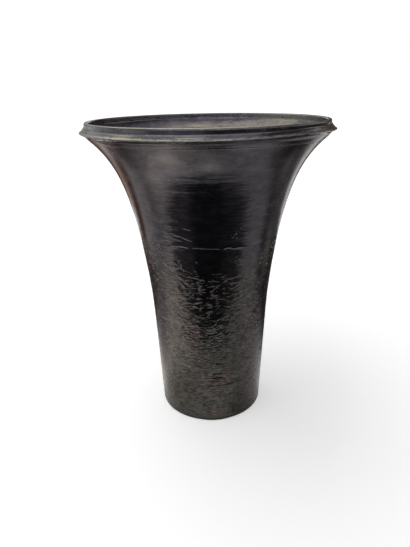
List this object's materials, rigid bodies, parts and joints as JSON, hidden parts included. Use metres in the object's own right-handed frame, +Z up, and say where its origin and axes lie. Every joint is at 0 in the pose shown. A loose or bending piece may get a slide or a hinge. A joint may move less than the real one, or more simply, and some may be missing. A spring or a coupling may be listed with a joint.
{
  "type": "vase",
  "caption": "Tall stoneware vase with a straight lower body, a trumpet mouth, a sharp collar under an upright lip, and a dark metallic glaze.",
  "frame": {"origin": "centre of the circle that the foot ring stands on", "axes": "+Z up along the axis that the vase was thrown about; X and Y are equal, with -Y towards the side the picture shows"},
  "size_m": [0.2964, 0.2964, 0.38],
  "materials": {
    "glaze": "dark gunmetal glaze, satin to gloss, wrinkled low down and faintly ringed above",
    "bare_clay": "bare dark stoneware, matt and slightly gritty"
  },
  "bodies": {
    "root": {"foot_ring": "bare_clay", "floor_disc": "glaze", "lower_wall": "glaze", "flared_wall": "glaze", "lip_ring": "glaze", "collar_ring": "glaze"}
  },
  "joints": []
}
